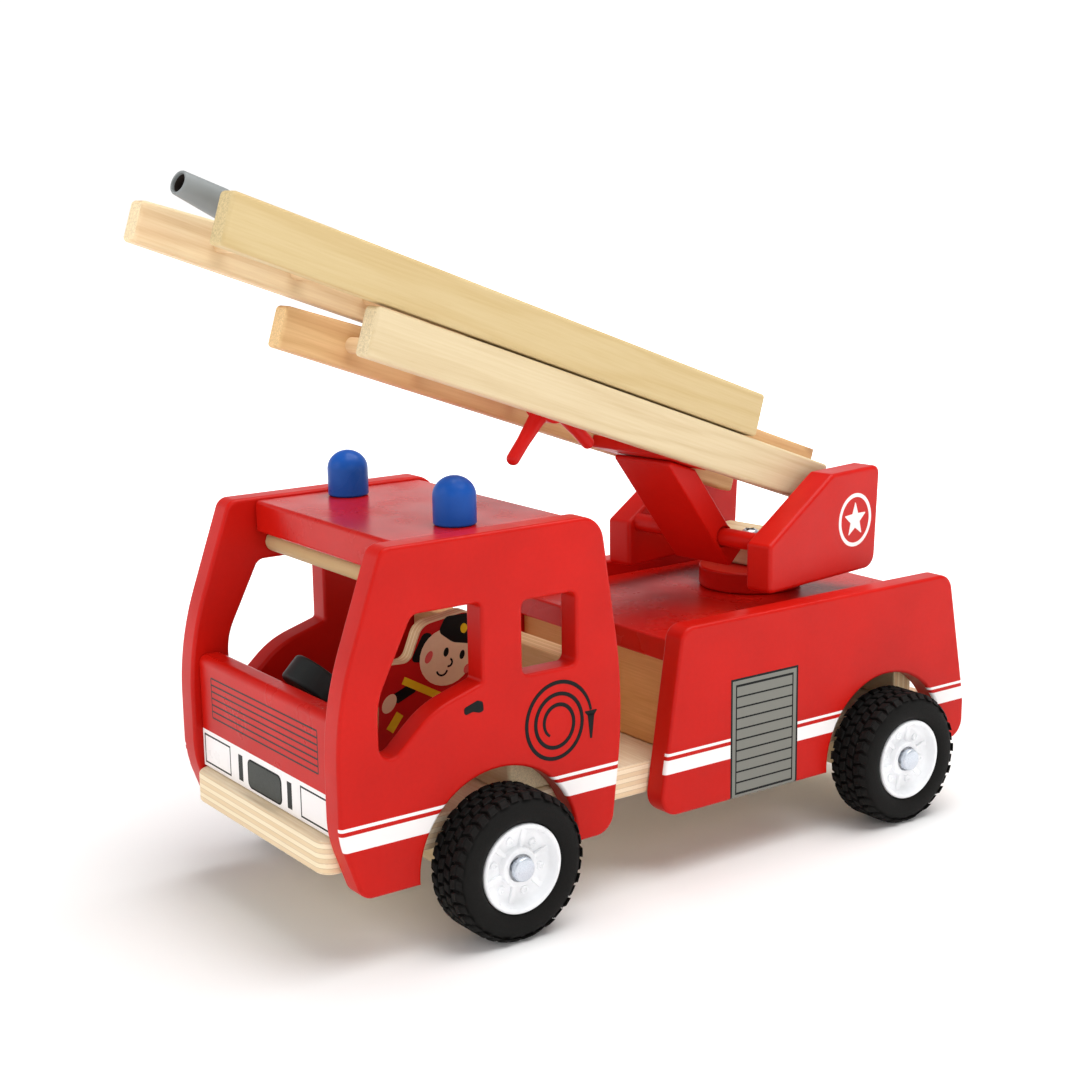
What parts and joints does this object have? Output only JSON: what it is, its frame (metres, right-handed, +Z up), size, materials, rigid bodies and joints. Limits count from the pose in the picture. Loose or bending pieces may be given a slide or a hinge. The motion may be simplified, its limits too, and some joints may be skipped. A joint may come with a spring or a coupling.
{
  "type": "toy fire engine",
  "caption": "Painted wooden toy fire engine with rubber-tyred wheels, a turning turntable, a tilting and sliding ladder, a star wheel and a water nozzle.",
  "frame": {"origin": "on the ground under the middle of the overall box", "axes": "-Y ahead (the cab's end), +X the vehicle's left side, +Z up"},
  "size_m": [0.1498, 0.346, 0.2647],
  "materials": {
    "red_paint": "satin red lacquer on plywood",
    "blue_paint": "satin blue lacquer on turned wood",
    "pine": "sanded pale wood with clear varnish",
    "birch_ply": "sanded plywood with visible layers at its edges",
    "tyre_rubber": "matt moulded rubber",
    "white_plastic": "moulded white",
    "steel": "bright plated steel",
    "grey_plastic": "moulded grey",
    "black_paint": "satin black lacquer on turned wood",
    "red_plastic": "moulded red",
    "printed_ply": "thin plywood printed with a plain smiling driver"
  },
  "bodies": {
    "body": {"chassis_board": "birch_ply", "cab_panel_left": "red_paint", "cab_panel_right": "red_paint", "roof_board": "red_paint", "windscreen_dowel": "pine", "grille_panel": "red_paint", "cab_rear_wall": "birch_ply", "bench_seat": "pine", "driver_figure": "printed_ply", "steering_column": "pine", "beacon_left": "blue_paint", "beacon_right": "blue_paint", "bed_panel_left": "red_paint", "bed_panel_right": "red_paint", "platform_board": "red_paint", "bed_front_wall": "birch_ply", "bed_rear_wall": "birch_ply", "turntable_spacer": "red_paint", "front_axle_block": "pine", "rear_axle_block": "pine"},
    "front_wheelset": {"front_axle": "steel", "front_rim_left": "white_plastic", "front_rim_right": "white_plastic", "front_tyre_left": "tyre_rubber", "front_tyre_right": "tyre_rubber"},
    "rear_wheelset": {"rear_axle": "steel", "rear_rim_left": "white_plastic", "rear_rim_right": "white_plastic", "rear_tyre_left": "tyre_rubber", "rear_tyre_right": "tyre_rubber"},
    "steering": {"steering_wheel": "black_paint"},
    "turret": {"turret_plate_left": "red_paint", "turret_plate_right": "red_paint", "turret_block": "pine", "pivot_dowel": "red_paint", "pivot_washer": "steel", "pivot_screw": "steel"},
    "boom": {"boom_arm": "red_paint", "lower_rail_left": "pine", "lower_rail_right": "pine", "guide_strip_left": "pine", "guide_strip_right": "pine", "ladder_crosspiece": "red_paint", "lower_rung_1": "pine", "lower_rung_2": "pine", "lower_rung_3": "pine", "lower_rung_4": "pine"},
    "star": {"star_wheel": "red_plastic", "star_shaft": "red_plastic"},
    "upper_ladder": {"upper_rail_left": "pine", "upper_rail_right": "pine", "upper_rung_1": "pine", "upper_rung_2": "pine", "upper_rung_3": "pine", "upper_rung_4": "pine", "upper_rung_5": "pine", "upper_rung_6": "pine", "upper_rung_7": "pine", "upper_rung_8": "pine"},
    "nozzle": {"water_nozzle": "grey_plastic"}
  },
  "joints": [
    {"name": "front_wheels_roll", "type": "hinge", "parent": "body", "child": "front_wheelset", "pos_m": [0, -0.06407, 0.027], "axis": [1, 0, 0], "continuous": true},
    {"name": "rear_wheels_roll", "type": "hinge", "parent": "body", "child": "rear_wheelset", "pos_m": [0, 0.12693, 0.027], "axis": [1, 0, 0], "continuous": true},
    {"name": "steering_turn", "type": "hinge", "parent": "body", "child": "steering", "pos_m": [0.002, -0.10357, 0.084], "axis": [0, 0.7071, 0.7071], "continuous": true},
    {"name": "turntable_turn", "type": "hinge", "parent": "body", "child": "turret", "pos_m": [0, 0.10543, 0], "axis": [0, 0, 1], "continuous": true},
    {"name": "ladder_raise", "type": "hinge", "parent": "turret", "child": "boom", "pos_m": [0.00534, 0.07135, 0.1175], "axis": [-0.988, -0.1547, 0], "range_deg": [-5, 19]},
    {"name": "ladder_slide", "type": "slide", "parent": "boom", "child": "upper_ladder", "axis": [0.1464, -0.9347, 0.3239], "range_m": [-0.062, 0.08]},
    {"name": "star_wheel_turn", "type": "hinge", "parent": "boom", "child": "star", "pos_m": [0.01824, -0.01107, 0.18041], "axis": [0.988, 0.1547, 0], "range_deg": [-176, 227]},
    {"name": "nozzle_tilt", "type": "hinge", "parent": "upper_ladder", "child": "nozzle", "pos_m": [0.03807, -0.13764, 0.24151], "axis": [-0.988, -0.1547, 0], "range_deg": [-20, 30]}
  ],
  "couplings": [
    {"joint": "star_wheel_turn", "follows": "ladder_slide", "rad_per_m": 49.087}
  ]
}
